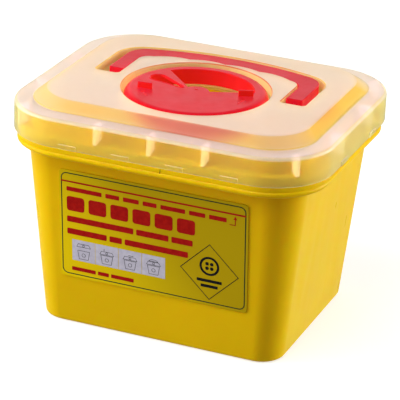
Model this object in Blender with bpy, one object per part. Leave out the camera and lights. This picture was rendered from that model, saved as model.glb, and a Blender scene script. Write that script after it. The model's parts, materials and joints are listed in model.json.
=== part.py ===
"""Sharps container: a tapered tub with a front label, a translucent press-on lid,
a turntable that opens and closes the drop aperture, and a flat carrying handle.

Metres, +Z up, origin on the floor under the middle of the tub, front towards -Y.
"""
import math

import bpy
import bmesh
from mathutils import Matrix, Vector

# ------------------------------------------------------------------ driving dimensions
GAP = 0.0003                    # air between touching pieces

# tub
TUB_BOTTOM = (0.0919, 0.0737, 0.0180)   # half width, half depth, corner radius at the floor
TUB_UPPER = (0.10325, 0.0835, 0.0240)    # the same at TUB_UPPER_Z
TUB_UPPER_Z = 0.1215
TUB_WALL = 0.0020
TUB_FOOT_ROUND = 0.0028
TUB_FLOOR = 0.0022
APRON_HALF = (0.1148, 0.0947, 0.0428)    # outside of the flange apron under the lid skirt
APRON_BOTTOM_Z = 0.1338
APRON_TOP_Z = 0.1495
APRON_WALL = 0.0018
APRON_EDGE = 0.0010
BEAD_R = 0.0023                          # rounded bead along the lower edge of the apron
BEAD_PROUD = 0.0010
NECK_HALF = (0.1056, 0.0858, 0.0260)     # outside of the neck above the flange
NECK_TOP_Z = 0.1585
NECK_WALL = 0.0020
NECK_EDGE = 0.0006

# front label
LABEL_X = (-0.0723, 0.0703)
LABEL_S = (0.0385, 0.1230)               # measured up the slope of the front wall
LABEL_THICK = 0.0004
LABEL_CORNER = 0.0030

# lid
LID_HALF = (0.1180, 0.0979, 0.0460)
LID_WALL = 0.0018
SKIRT_BOTTOM_Z = 0.1429
LEDGE_Z = 0.1645
LEDGE_ROUND = 0.0030
SLOPE_FILLET = 0.0016                    # at the foot of the plateau slope
PLATEAU_BASE = (0.1045, 0.0843, 0.0340)
PLATEAU_TOP = (0.0975, 0.0760, 0.0310)
PLATEAU_Z = 0.1715
PLATEAU_ROUND = 0.0055
SEAL_HALF = (0.1032, 0.0834, 0.0240)     # plug ring that sits inside the neck
SEAL_WALL = 0.0014
SEAL_BOTTOM_Z = 0.1525
RIB_THICK = 0.0026
RIB_BOTTOM_Z = 0.1507
RIB_DEPTH = 0.0086
CORNER_RIB_DEPTH = 0.0066
RIB_X = (-0.040, 0.0, 0.040)
RIB_Y = (-0.030, 0.030)
LUG_X = (-0.0600, -0.0200, 0.0200, 0.0600)
LUG_Y = (-0.0300, 0.0300)
LUG_SIZE = (0.0132, 0.0007, 0.0037)      # width, stand-off, height

# drop well and turntable
DISC_X, DISC_Y = 0.0, -0.0130
WELL_R_TOP, WELL_R_BOTTOM = 0.0532, 0.0527
WELL_LIP_ROUND = 0.0010
WELL_SHELL = 0.0018
WELL_FLOOR_Z = 0.1575
WELL_FLOOR_THICK = 0.0020
APERTURE_R = 0.0420
APERTURE_EDGE_Y = 0.0020                 # straight edge of the fixed aperture, from the axis
BOSS_R = 0.0100
PIN_HOLE_R = 0.0034
ROTOR_R = 0.0514
ROTOR_TOP_Z = 0.1706
ROTOR_EDGE_ROUND = 0.0060
ROTOR_WALL = 0.0018
ROTOR_SKIRT_Z = 0.1602
COLLAR_R = (0.0440, 0.0458)
COLLAR_BOTTOM_Z = 0.1580
HUB_R = 0.0056
PIN_R = 0.0030
PIN_HEAD_R = 0.0041
PIN_HEAD_Z = (0.1526, 0.1549)
ROTOR_ANGLE = math.radians(15.0)         # resting angle of the turntable on its axis
OPENING_R = 0.0415
HUB_BUMP = (0.0, -0.0035, 0.0096)        # x, y, radius of the half-round bump at the hub
RIGHT_EDGE = (0.0095, -0.0027, 9.5)      # a point on the edge and its direction in degrees
LEFT_EDGE = (-0.0088, 0.0082, 118.7)
SLOT_WIDE = (-0.0295, 0.0178, 0.0060)    # x, y, radius of the two ends of the needle slot
SLOT_NARROW = (-0.0105, 0.0026, 0.0013)
TAB_SIZE = (0.0106, 0.0018, 0.0043)      # length, thickness, height
TAB_POS = (0.0358, -0.0053)
TAB_TOE = math.radians(10.0)

# handle and the recess it lies in
HANDLE_TOP_Z = 0.1705
HANDLE_THICK = 0.0068
HANDLE_SKIN = 0.0020
HANDLE_OUT = (0.0743, 0.0170, 0.2150, 0.0588)   # arm x, corner radius, arc radius, arc top y
HANDLE_IN = (0.0624, 0.0100, 0.1750, 0.0430)
HANDLE_END_Y = 0.0015
HANDLE_END_ROUND = 0.0012
SCALLOP_DEPTH = 0.0027
WEB_X = (-0.0405, -0.0135, 0.0135, 0.0405)
CUSP_X = (-0.0532, -0.0270, 0.0, 0.0270, 0.0532)
RECESS_OUT = (0.0803, 0.0225, 0.2160, 0.0598)
RECESS_IN = (0.0616, 0.0092, 0.1742, 0.0422)
RECESS_END_Y = -0.0107
RECESS_END_ROUND = 0.0030
RECESS_FLOOR_Z = 0.1610
RECESS_SHELL = 0.0018
PIVOT_Y, PIVOT_Z = 0.0055, 0.1671
PIVOT_PIN_R = 0.0021
PIVOT_HOLE_R = 0.0025
PIVOT_PIN_X = (0.0596, 0.0631)

CORNER_STEPS = 10
TURN_STEPS = 96


# ------------------------------------------------------------------------------ helpers
def clear_scene():
    for item in list(bpy.data.objects):
        bpy.data.objects.remove(item, do_unlink=True)


def material(name, colour, roughness, transmission=0.0):
    mat = bpy.data.materials.new(name)
    mat.use_nodes = True
    shader = mat.node_tree.nodes["Principled BSDF"]
    shader.inputs["Base Color"].default_value = (*colour, 1.0)
    shader.inputs["Roughness"].default_value = roughness
    shader.inputs["Transmission Weight"].default_value = transmission
    return mat


def new_object(name, verts, faces):
    mesh = bpy.data.meshes.new(name)
    mesh.from_pydata([tuple(v) for v in verts], [], faces)
    bm = bmesh.new()
    bm.from_mesh(mesh)
    bmesh.ops.recalc_face_normals(bm, faces=bm.faces)
    bm.to_mesh(mesh)
    bm.free()
    obj = bpy.data.objects.new(name, mesh)
    bpy.context.collection.objects.link(obj)
    return obj


def rounded_rect(hx, hy, r, steps=CORNER_STEPS):
    """Counter-clockwise outline of a rounded rectangle about the origin."""
    points = []
    for k, (sx, sy) in enumerate(((1, 1), (-1, 1), (-1, -1), (1, -1))):
        for i in range(steps + 1):
            a = math.radians(90.0 * (k + i / steps))
            points.append((sx * (hx - r) + r * math.cos(a), sy * (hy - r) + r * math.sin(a)))
    return points


def loft(name, rings, close=False):
    """Skin through rings of equally many 3-D points, capped unless it closes on itself."""
    count = len(rings[0])
    verts = [p for ring in rings for p in ring]
    faces = []
    spans = len(rings) if close else len(rings) - 1
    for j in range(spans):
        a, b = j * count, ((j + 1) % len(rings)) * count
        for i in range(count):
            k = (i + 1) % count
            faces.append((a + i, a + k, b + k, b + i))
    if not close:
        last = (len(rings) - 1) * count
        faces.append(tuple(reversed(range(count))))
        faces.append(tuple(last + i for i in range(count)))
    return new_object(name, verts, faces)


def rect_loft(name, profile, close=False):
    """Loft of rounded rectangles; profile rows are (half width, half depth, corner, z)."""
    rings = [[(x, y, z) for x, y in rounded_rect(hx, hy, r)] for hx, hy, r, z in profile]
    return loft(name, rings, close)


def turned(name, profile, centre, steps=TURN_STEPS):
    """Solid of revolution about a vertical axis; profile rows are (radius, z), closed."""
    rings = []
    for k in range(steps):
        a = 2 * math.pi * k / steps
        rings.append([(centre[0] + r * math.cos(a), centre[1] + r * math.sin(a), z)
                      for r, z in profile])
    return loft(name, rings, close=True)


def cylinder(name, centre, radius, z0, z1, steps=TURN_STEPS):
    ring = [(centre[0] + radius * math.cos(2 * math.pi * k / steps),
             centre[1] + radius * math.sin(2 * math.pi * k / steps)) for k in range(steps)]
    return prism(name, ring, z0, z1)


def prism(name, outline, z0, z1):
    rings = [[(x, y, z) for x, y in outline] for z in (z0, z1)]
    return loft(name, rings)


def box(name, low, high):
    outline = [(low[0], low[1]), (high[0], low[1]), (high[0], high[1]), (low[0], high[1])]
    return prism(name, outline, low[2], high[2])


def cylinder_x(name, x0, x1, y, z, radius, steps=24):
    rings = [[(x, y + radius * math.cos(2 * math.pi * k / steps),
               z + radius * math.sin(2 * math.pi * k / steps)) for k in range(steps)]
             for x in (x0, x1)]
    return loft(name, rings)


def combine(target, tool, operation):
    """Apply one exact Boolean to the target mesh and remove the tool."""
    tool.hide_render = True
    tool.display_type = "WIRE"
    mod = target.modifiers.new(operation.lower(), "BOOLEAN")
    mod.operation = operation
    mod.solver = "EXACT"
    mod.object = tool
    bpy.context.view_layer.update()
    solid = bpy.data.meshes.new_from_object(
        target.evaluated_get(bpy.context.evaluated_depsgraph_get()))
    target.modifiers.clear()
    old = target.data
    solid.name = old.name
    target.data = solid
    bpy.data.meshes.remove(old)
    bpy.data.objects.remove(tool, do_unlink=True)
    return target


def join_solids(target, tools):
    for tool in tools:
        combine(target, tool, "UNION")


def cut_solids(target, tools):
    for tool in tools:
        combine(target, tool, "DIFFERENCE")


def finish_mesh(obj, mat, smooth_degrees=35.0):
    """Weld stray points, set the one material and shade round surfaces smooth."""
    bm = bmesh.new()
    bm.from_mesh(obj.data)
    bmesh.ops.remove_doubles(bm, verts=bm.verts, dist=0.000005)
    bmesh.ops.dissolve_degenerate(bm, edges=bm.edges, dist=0.000005)
    bmesh.ops.recalc_face_normals(bm, faces=bm.faces)
    for face in bm.faces:
        face.smooth = True
        face.material_index = 0
    for edge in bm.edges:
        if len(edge.link_faces) == 2 and edge.calc_face_angle(0.0) > math.radians(smooth_degrees):
            edge.smooth = False
    bm.to_mesh(obj.data)
    bm.free()
    obj.data.materials.clear()
    obj.data.materials.append(mat)


def set_origin(obj, point):
    offset = Vector(point)
    obj.data.transform(Matrix.Translation(-offset))
    obj.location = offset


def wall_at(z):
    """Outside of the tapered tub wall at height z: half width, half depth, corner."""
    t = z / TUB_UPPER_Z
    return tuple(a + (b - a) * t for a, b in zip(TUB_BOTTOM, TUB_UPPER))


def shrink(size, amount):
    """Offset a rounded rectangle inwards by the given amount."""
    return size[0] - amount, size[1] - amount, max(size[2] - amount, 0.002)


# ---------------------------------------------------------------------------------- tub
def tub_profile():
    """Closed walk from the middle of the underside, over the flange, to the inner floor."""
    foot = TUB_FOOT_ROUND
    rows = [(*shrink(wall_at(0.0), foot), 0.0)]
    for k in range(1, 5):
        a = math.radians(90.0 * k / 4)
        z = foot * (1 - math.cos(a))
        rows.append((*shrink(wall_at(z), foot * (1 - math.sin(a))), z))
    under = APRON_TOP_Z - APRON_WALL
    rows.append((*wall_at(APRON_BOTTOM_Z), APRON_BOTTOM_Z))
    rows.append((*NECK_HALF, under))
    rows.append((*shrink(APRON_HALF, APRON_WALL), under))
    # round the bead from the inner face of the apron, under it and up to the outer face
    start = math.acos((BEAD_R - BEAD_PROUD - APRON_WALL) / BEAD_R)
    stop = math.acos((BEAD_R - BEAD_PROUD) / BEAD_R)
    for k in range(0, 9):
        a = -start + (start + stop) * k / 8
        rows.append((*shrink(APRON_HALF, BEAD_R - BEAD_PROUD - BEAD_R * math.cos(a)),
                     APRON_BOTTOM_Z + BEAD_R + BEAD_R * math.sin(a)))
    rows.append((*APRON_HALF, APRON_TOP_Z - APRON_EDGE))
    rows.append((*shrink(APRON_HALF, APRON_EDGE), APRON_TOP_Z))
    rows.append((*NECK_HALF, APRON_TOP_Z))
    rows.append((*NECK_HALF, NECK_TOP_Z - NECK_EDGE))
    rows.append((*shrink(NECK_HALF, NECK_EDGE), NECK_TOP_Z))
    rows.append((*shrink(NECK_HALF, NECK_WALL - NECK_EDGE), NECK_TOP_Z))
    rows.append((*shrink(NECK_HALF, NECK_WALL), NECK_TOP_Z - NECK_EDGE))
    rows.append((*shrink(wall_at(APRON_BOTTOM_Z), TUB_WALL), APRON_BOTTOM_Z))
    for k in range(0, 4):
        a = math.radians(90.0 - 90.0 * k / 3)
        z = TUB_FLOOR + foot * (1 - math.cos(a))
        rows.append((*shrink(wall_at(z), TUB_WALL + foot * (1 - math.sin(a))), z))
    return rows


def make_tub(mat):
    tub = rect_loft("tub", tub_profile())
    finish_mesh(tub, mat)
    return tub


def make_label(mat):
    """Thin sheet parallel to the sloping front wall."""
    slope = math.atan2(TUB_UPPER[1] - TUB_BOTTOM[1], TUB_UPPER_Z)
    width = (LABEL_X[1] - LABEL_X[0]) / 2
    height = (LABEL_S[1] - LABEL_S[0]) / 2
    outline = rounded_rect(width, height, LABEL_CORNER, 6)
    mid_x = (LABEL_X[0] + LABEL_X[1]) / 2
    mid_s = (LABEL_S[0] + LABEL_S[1]) / 2
    up = Vector((0.0, -math.sin(slope), math.cos(slope)))
    out = Vector((0.0, -math.cos(slope), -math.sin(slope)))
    base = Vector((mid_x, -TUB_BOTTOM[1], 0.0)) + up * mid_s
    rings = []
    for off in (GAP, GAP + LABEL_THICK):
        rings.append([tuple(base + Vector((x, 0, 0)) + up * y + out * off) for x, y in outline])
    label = loft("label", rings)
    finish_mesh(label, mat)
    return label


# ------------------------------------------------------------------------ handle outline
def bail_side(spec, y_end, end_round):
    """One edge of a bail on the +X side, from the arm end to the start of the long arc."""
    arm, r, big, top = spec
    yc = top - big
    yf = yc + math.sqrt((big - r) ** 2 - (arm - r) ** 2)
    points = []
    for k in range(0, 5):
        a = math.radians(90.0 * k / 4)
        points.append((arm - end_round * (1 - math.sin(a)),
                       y_end + abs(end_round) * (1 - math.cos(a))))
    a_end = math.atan2(yf - yc, arm - r)
    for k in range(0, 9):
        a = a_end * k / 8
        points.append((arm - r + r * math.cos(a), yf + r * math.sin(a)))
    return points, a_end, yc, big


def bail_edge(spec, y_end, end_round, scalloped=False):
    """Open outline from the +X arm end round to the -X arm end."""
    side, a_end, yc, big = bail_side(spec, y_end, end_round)
    points = list(side)
    if scalloped:
        cusps = sorted(CUSP_X, reverse=True)
        marks = [(x, yc + math.sqrt(big * big - x * x)) for x in cusps]
        for (x0, y0), (x1, y1) in zip(marks, marks[1:]):
            for k in range(0, 8):
                t = k / 8
                bow = 4 * SCALLOP_DEPTH * t * (1 - t)
                points.append((x0 + (x1 - x0) * t, y0 + (y1 - y0) * t + bow))
        points.append(marks[-1])
    else:
        for k in range(1, 16):
            a = a_end + (math.pi - 2 * a_end) * k / 16
            points.append((big * math.cos(a), yc + big * math.sin(a)))
    points += [(-x, y) for x, y in reversed(side)]
    clean = [points[0]]
    for p in points[1:]:
        if math.dist(p, clean[-1]) > 0.0002:
            clean.append(p)
    return clean


def bail_outline(outer, inner, y_end, end_round=HANDLE_END_ROUND):
    """Closed outline of a bail; the four end corners are rounded."""
    inner_edge = bail_edge(inner, y_end, -end_round, scalloped=True)
    return bail_edge(outer, y_end, end_round) + list(reversed(inner_edge))


# ---------------------------------------------------------------------------------- lid
def lid_profile():
    """Walk up the outside from the skirt edge to the plateau, then down the inside."""
    wall = LID_WALL
    rows = [(*shrink(LID_HALF, 0.0003), SKIRT_BOTTOM_Z),
            (*LID_HALF, SKIRT_BOTTOM_Z + 0.0003)]
    for k in range(0, 5):
        a = math.radians(90.0 * k / 4)
        rows.append((*shrink(LID_HALF, LEDGE_ROUND * (1 - math.cos(a))),
                     LEDGE_Z - LEDGE_ROUND * (1 - math.sin(a))))
    rows.append((*shrink(PLATEAU_BASE, -SLOPE_FILLET), LEDGE_Z))
    rows.append((*shrink(PLATEAU_BASE, -SLOPE_FILLET * 0.25), LEDGE_Z + SLOPE_FILLET * 0.3))
    rows.append((*PLATEAU_BASE, LEDGE_Z + SLOPE_FILLET))
    rows += plateau_rows(0.0)
    inner = [(*shrink(LID_HALF, wall), SKIRT_BOTTOM_Z),
             (*shrink(LID_HALF, wall), LEDGE_Z - LEDGE_ROUND),
             (*shrink(LID_HALF, wall + 0.0012), LEDGE_Z - wall),
             (*shrink(PLATEAU_BASE, wall), LEDGE_Z - wall)]
    inner += plateau_rows(wall)
    return rows, inner


def plateau_rows(inset):
    """Slope and rounded shoulder of the plateau; inset moves the surface inwards."""
    rows = []
    foot_z = LEDGE_Z + SLOPE_FILLET
    lean = math.atan2(PLATEAU_BASE[1] - PLATEAU_TOP[1], PLATEAU_Z - PLATEAU_ROUND * 0.35 - foot_z)
    r = PLATEAU_ROUND
    for k in range(0, 6):
        a = lean + (math.pi / 2 - lean) * k / 5
        drop = r * (1 - math.sin(a))
        # the shoulder curls inwards from the top of the slope
        inwards = r * (math.cos(lean) - math.cos(a))
        rows.append((*shrink(PLATEAU_TOP, inwards - 0.0004 + inset), PLATEAU_Z - drop - inset))
    return rows


def lid_shell():
    """Skirt, ledge and plateau as one open-bottomed shell."""
    outer, inner = lid_profile()
    profile = outer + list(reversed(inner))
    rings = [[(x, y, z) for x, y in rounded_rect(hx, hy, r)] for hx, hy, r, z in profile]
    count = len(rings[0])
    top = len(outer)
    # the two caps close the plateau skin; the skirt edge joins first ring to last
    verts = [p for ring in rings for p in ring]
    faces = []
    for j in range(len(rings)):
        k = (j + 1) % len(rings)
        if j == top - 1:
            continue
        for i in range(count):
            m = (i + 1) % count
            faces.append((j * count + i, j * count + m, k * count + m, k * count + i))
    faces.append(tuple((top - 1) * count + i for i in range(count)))
    faces.append(tuple(top * count + i for i in reversed(range(count))))
    return new_object("lid", verts, faces)


def make_lid(mat):
    lid = lid_shell()
    skin = PLATEAU_Z - LID_WALL * 0.5
    under = LEDGE_Z - LID_WALL * 0.5
    centre = (DISC_X, DISC_Y)
    blocks = [
        cylinder("well_block", centre, WELL_R_BOTTOM + WELL_SHELL,
                 WELL_FLOOR_Z - WELL_FLOOR_THICK, skin),
        prism("recess_block", bail_outline(grow(RECESS_OUT, RECESS_SHELL),
                                           grow(RECESS_IN, -RECESS_SHELL),
                                           RECESS_END_Y - RECESS_SHELL, RECESS_END_ROUND),
              RECESS_FLOOR_Z - RECESS_SHELL, skin),
        rect_loft("seal_ring", [(*SEAL_HALF, under), (*SEAL_HALF, SEAL_BOTTOM_Z + 0.0010),
                                (*shrink(SEAL_HALF, 0.0006), SEAL_BOTTOM_Z),
                                (*shrink(SEAL_HALF, SEAL_WALL), SEAL_BOTTOM_Z),
                                (*shrink(SEAL_HALF, SEAL_WALL), under)], close=True),
    ]
    join_solids(lid, blocks + lid_ribs() + lid_lugs())

    lip = WELL_LIP_ROUND
    profile = [(WELL_R_BOTTOM, WELL_FLOOR_Z), (WELL_R_TOP, PLATEAU_Z - lip)]
    for k in range(1, 5):
        a = math.radians(90.0 * k / 4)
        profile.append((WELL_R_TOP + lip * (1 - math.cos(a)), PLATEAU_Z - lip + lip * math.sin(a)))
    profile += [(WELL_R_TOP + lip, PLATEAU_Z + 0.004)]
    cuts = [
        solid_turned("well_cut", profile, centre),
        prism("recess_cut", bail_outline(RECESS_OUT, RECESS_IN, RECESS_END_Y, RECESS_END_ROUND),
              RECESS_FLOOR_Z, PLATEAU_Z + 0.004),
        prism("aperture_cut", aperture_outline(), WELL_FLOOR_Z - 0.004, WELL_FLOOR_Z + 0.003),
        cylinder("pin_hole", centre, PIN_HOLE_R, WELL_FLOOR_Z - 0.004, WELL_FLOOR_Z + 0.003, 32),
    ]
    for side in (-1, 1):
        x0, x1 = sorted((side * (RECESS_IN[0] - RECESS_SHELL - 0.0008),
                         side * (RECESS_IN[0] + 0.0010)))
        cuts.append(cylinder_x("pivot_hole", x0, x1, PIVOT_Y, PIVOT_Z, PIVOT_HOLE_R))
    cut_solids(lid, cuts)
    finish_mesh(lid, mat)
    return lid


def grow(spec, amount):
    """Offset a bail edge sideways and at its arc by the same amount."""
    return spec[0] + amount, spec[1] + amount, spec[2] + amount, spec[3] + amount


def solid_turned(name, side, centre, steps=TURN_STEPS):
    """Turned solid with flat ends from a side profile of (radius, z) rows."""
    rings = [[(centre[0] + r * math.cos(2 * math.pi * k / steps),
               centre[1] + r * math.sin(2 * math.pi * k / steps), z) for k in range(steps)]
             for r, z in side]
    return loft(name, rings)


def aperture_outline():
    """Rear part of a disc, less the round boss kept at the axis."""
    edge = APERTURE_EDGE_Y
    start = math.asin(edge / APERTURE_R)
    points = []
    for k in range(0, 41):
        a = start + (math.pi - 2 * start) * k / 40
        points.append((APERTURE_R * math.cos(a), APERTURE_R * math.sin(a)))
    b_start = math.asin(edge / BOSS_R)
    for k in range(0, 17):
        a = math.pi - b_start - (math.pi - 2 * b_start) * k / 16
        points.append((BOSS_R * math.cos(a), BOSS_R * math.sin(a)))
    return [(DISC_X + x, DISC_Y + y) for x, y in points]


def gusset(name, turn, reach, along, depth=RIB_DEPTH):
    """Web between the skirt and the neck; turn is the outward direction in degrees."""
    half = RIB_THICK / 2
    top = LEDGE_Z - LID_WALL * 0.5
    outer, inner = reach, reach - depth
    corners = [(outer, RIB_BOTTOM_Z - 0.0010), (inner, RIB_BOTTOM_Z + 0.0022), (inner, top),
               (outer, top)]
    rings = [[(u, v, z) for u, z in corners] for v in (-half, half)]
    web = loft(name, rings)
    turn_z = Matrix.Rotation(math.radians(turn), 4, "Z")
    shift = Matrix.Translation(Vector((along[0], along[1], 0.0)))
    web.data.transform(shift @ turn_z)
    return web


def lid_ribs():
    bite = LID_WALL * 0.5
    ribs = []
    for x in RIB_X:
        ribs.append(gusset("rib", -90.0, LID_HALF[1] - bite, (x, 0.0)))
        ribs.append(gusset("rib", 90.0, LID_HALF[1] - bite, (x, 0.0)))
    for y in RIB_Y:
        ribs.append(gusset("rib", 0.0, LID_HALF[0] - bite, (0.0, y)))
        ribs.append(gusset("rib", 180.0, LID_HALF[0] - bite, (0.0, y)))
    for sx in (-1, 1):
        for sy in (-1, 1):
            turn = math.degrees(math.atan2(sy, sx))
            cx, cy = sx * (LID_HALF[0] - LID_HALF[2]), sy * (LID_HALF[1] - LID_HALF[2])
            ribs.append(gusset("rib", turn, LID_HALF[2] - bite, (cx, cy), CORNER_RIB_DEPTH))
    return ribs


def lid_lugs():
    """Snap pads proud of the lower edge of the skirt."""
    width, proud, height = LUG_SIZE
    bite = LID_WALL * 0.4
    z0, z1 = SKIRT_BOTTOM_Z + 0.0002, SKIRT_BOTTOM_Z + height
    lugs = []
    for side in (-1, 1):
        for x in LUG_X:
            y0, y1 = sorted((side * (LID_HALF[1] - bite), side * (LID_HALF[1] + proud)))
            lugs.append(box("lug", (x - width / 2, y0, z0), (x + width / 2, y1, z1)))
        for y in LUG_Y:
            x0, x1 = sorted((side * (LID_HALF[0] - bite), side * (LID_HALF[0] + proud)))
            lugs.append(box("lug", (x0, y - width / 2, z0), (x1, y + width / 2, z1)))
    return lugs


# ---------------------------------------------------------------------------- turntable
def opening_outline():
    """Sector-shaped drop opening between the hub bump and the rim."""
    bx, by, br = HUB_BUMP
    first = line_circle(RIGHT_EDGE, (bx, by), br)
    rim_first = line_circle(RIGHT_EDGE, (0.0, 0.0), OPENING_R)
    rim_last = line_circle(LEFT_EDGE, (0.0, 0.0), OPENING_R)
    last = line_circle(LEFT_EDGE, (bx, by), br)
    points = [first]
    a0, a1 = math.atan2(rim_first[1], rim_first[0]), math.atan2(rim_last[1], rim_last[0])
    for k in range(0, 33):
        a = a0 + (a1 - a0) * k / 32
        points.append((OPENING_R * math.cos(a), OPENING_R * math.sin(a)))
    b0, b1 = math.atan2(last[1] - by, last[0] - bx), math.atan2(first[1] - by, first[0] - bx)
    for k in range(0, 12):
        a = b0 + (b1 - b0) * k / 12
        points.append((bx + br * math.cos(a), by + br * math.sin(a)))
    return points


def line_circle(line, centre, radius):
    """Far crossing of a directed line with a circle."""
    x, y, degrees = line
    dx, dy = math.cos(math.radians(degrees)), math.sin(math.radians(degrees))
    fx, fy = x - centre[0], y - centre[1]
    b = fx * dx + fy * dy
    c = fx * fx + fy * fy - radius * radius
    t = -b + math.sqrt(b * b - c)
    return x + t * dx, y + t * dy


def slot_outline():
    """Teardrop needle slot: hull of a wide and a narrow circle."""
    (x0, y0, r0), (x1, y1, r1) = SLOT_WIDE, SLOT_NARROW
    axis = math.atan2(y1 - y0, x1 - x0)
    spread = math.acos((r0 - r1) / math.hypot(x1 - x0, y1 - y0))
    points = []
    for k in range(0, 17):
        a = axis + spread + (2 * math.pi - 2 * spread) * k / 16
        points.append((x0 + r0 * math.cos(a), y0 + r0 * math.sin(a)))
    for k in range(0, 7):
        a = axis - spread + 2 * spread * k / 6
        points.append((x1 + r1 * math.cos(a), y1 + r1 * math.sin(a)))
    return points


def on_turntable(points):
    """Move points of the turntable's own frame to its resting angle and place."""
    c, s = math.cos(ROTOR_ANGLE), math.sin(ROTOR_ANGLE)
    return [(DISC_X + c * x - s * y, DISC_Y + s * x + c * y) for x, y in points]


def make_turntable(mat):
    wall, r, edge = ROTOR_WALL, ROTOR_R, ROTOR_EDGE_ROUND
    top = ROTOR_TOP_Z
    side = [(r, ROTOR_SKIRT_Z)]
    for k in range(0, 9):
        a = math.radians(90.0 * k / 8)
        side.append((r - edge + edge * math.cos(a), top - edge + edge * math.sin(a)))
    inside = []
    for k in range(0, 7):
        a = math.radians(90.0 - 90.0 * k / 6)
        inside.append((r - edge + (edge - wall) * math.cos(a),
                       top - edge + (edge - wall) * math.sin(a)))
    inside.append((r - wall, ROTOR_SKIRT_Z))
    centre = (DISC_X, DISC_Y)
    table = solid_turned("turntable", side, centre)
    hollow = solid_turned("hollow", [(r - wall, ROTOR_SKIRT_Z - 0.002)]
                          + list(reversed(inside)), centre)
    combine(table, hollow, "DIFFERENCE")
    under = top - wall * 0.5
    collar = turned("collar", [(COLLAR_R[0], under), (COLLAR_R[1], under),
                               (COLLAR_R[1], COLLAR_BOTTOM_Z), (COLLAR_R[0], COLLAR_BOTTOM_Z)],
                    centre)
    hub = solid_turned("hub", [(HUB_R, under), (HUB_R, WELL_FLOOR_Z + GAP),
                               (PIN_R, WELL_FLOOR_Z + GAP), (PIN_R, PIN_HEAD_Z[1]),
                               (PIN_HEAD_R, PIN_HEAD_Z[1]), (PIN_R * 0.7, PIN_HEAD_Z[0])],
                       centre, 32)
    tabs = [turntable_tab(side) for side in (-1, 1)]
    join_solids(table, [collar, hub] + tabs)
    cuts = [prism("opening", on_turntable(opening_outline()), top - wall - 0.0006, top + 0.003),
            prism("slot", on_turntable(slot_outline()), top - wall - 0.0006, top + 0.003)]
    cut_solids(table, cuts)
    finish_mesh(table, mat)
    set_origin(table, (DISC_X, DISC_Y, ROTOR_TOP_Z))
    return table


def turntable_tab(side):
    length, thick, height = TAB_SIZE
    outline = []
    for x, y in ((-1, -1), (1, -1), (1, 1), (-1, 1)):
        u, v = x * length / 2, y * thick / 2
        a = side * TAB_TOE
        outline.append((side * TAB_POS[0] + u * math.cos(a) - v * math.sin(a),
                        TAB_POS[1] + u * math.sin(a) + v * math.cos(a)))
    return prism("tab", on_turntable(outline), ROTOR_TOP_Z - ROTOR_WALL * 0.5,
                 ROTOR_TOP_Z + height)


# ------------------------------------------------------------------------------- handle
def arc_y(spec, x):
    """Depth position of a bail arc at a sideways position x."""
    return spec[3] - spec[2] + math.sqrt(spec[2] ** 2 - x * x)


def make_handle(mat):
    bottom = HANDLE_TOP_Z - HANDLE_THICK
    handle = prism("handle", bail_outline(HANDLE_OUT, HANDLE_IN, HANDLE_END_Y),
                   bottom, HANDLE_TOP_Z)
    skin = HANDLE_SKIN
    # hollow underside, leaving the arm ends solid around the pivot pins
    hollow = prism("hollow", bail_outline(grow(HANDLE_OUT, -skin), grow(HANDLE_IN, skin),
                                          PIVOT_Y + 0.0060),
                   bottom - 0.002, HANDLE_TOP_Z - skin)
    combine(handle, hollow, "DIFFERENCE")
    webs = []
    for x in WEB_X:
        y0 = arc_y(HANDLE_IN, x) + SCALLOP_DEPTH * 0.5 + skin * 0.5
        y1 = arc_y(HANDLE_OUT, x) - skin * 0.5
        webs.append(box("web", (x - 0.0008, y0, bottom + 0.0010),
                        (x + 0.0008, y1, HANDLE_TOP_Z - skin * 0.5)))
    pins = []
    for side in (-1, 1):
        x0, x1 = sorted((side * PIVOT_PIN_X[0], side * PIVOT_PIN_X[1]))
        pins.append(cylinder_x("pivot_pin", x0, x1, PIVOT_Y, PIVOT_Z, PIVOT_PIN_R))
    join_solids(handle, webs + pins)
    finish_mesh(handle, mat)
    set_origin(handle, (0.0, PIVOT_Y, PIVOT_Z))
    return handle


# --------------------------------------------------------------------------------- main
clear_scene()
yellow = material("yellow_polypropylene", (0.86, 0.62, 0.03), 0.42)
sheet = material("label_sheet", (0.66, 0.56, 0.05), 0.30)
natural = material("natural_polypropylene", (0.96, 0.86, 0.74), 0.35, 0.55)
red = material("red_turntable_plastic", (0.80, 0.03, 0.04), 0.35)
red_bail = material("red_handle_plastic", (0.80, 0.04, 0.06), 0.38)

make_tub(yellow)
make_label(sheet)
make_lid(natural)
make_turntable(red)
make_handle(red_bail)
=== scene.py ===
"""Looks of the sharps container: a yellow tub with a printed label, a milky press-on lid,
a red turntable over the drop aperture and a red folding handle.

Metres, +Z up, front towards -Y. Every piece is rebuilt finely in the place its CAD solid holds.
"""
import json
import math

import bmesh
import bpy
from mathutils import Matrix, Vector


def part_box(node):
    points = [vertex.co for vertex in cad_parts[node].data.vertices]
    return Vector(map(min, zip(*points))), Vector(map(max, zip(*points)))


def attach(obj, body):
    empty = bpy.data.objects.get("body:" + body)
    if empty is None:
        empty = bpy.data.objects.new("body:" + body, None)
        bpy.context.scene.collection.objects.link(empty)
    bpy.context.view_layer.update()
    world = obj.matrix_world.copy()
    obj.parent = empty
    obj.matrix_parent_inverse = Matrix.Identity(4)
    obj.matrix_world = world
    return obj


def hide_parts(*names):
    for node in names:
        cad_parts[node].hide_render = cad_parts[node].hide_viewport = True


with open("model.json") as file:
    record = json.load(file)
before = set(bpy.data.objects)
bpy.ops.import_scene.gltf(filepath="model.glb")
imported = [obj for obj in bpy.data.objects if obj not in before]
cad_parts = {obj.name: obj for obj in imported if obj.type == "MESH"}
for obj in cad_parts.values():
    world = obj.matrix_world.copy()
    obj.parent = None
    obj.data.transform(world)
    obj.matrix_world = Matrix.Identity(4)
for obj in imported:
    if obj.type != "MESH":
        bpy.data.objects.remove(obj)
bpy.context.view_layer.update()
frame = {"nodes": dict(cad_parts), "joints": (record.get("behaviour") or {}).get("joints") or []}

MM = 0.001
CORNER_STEPS = 20
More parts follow.
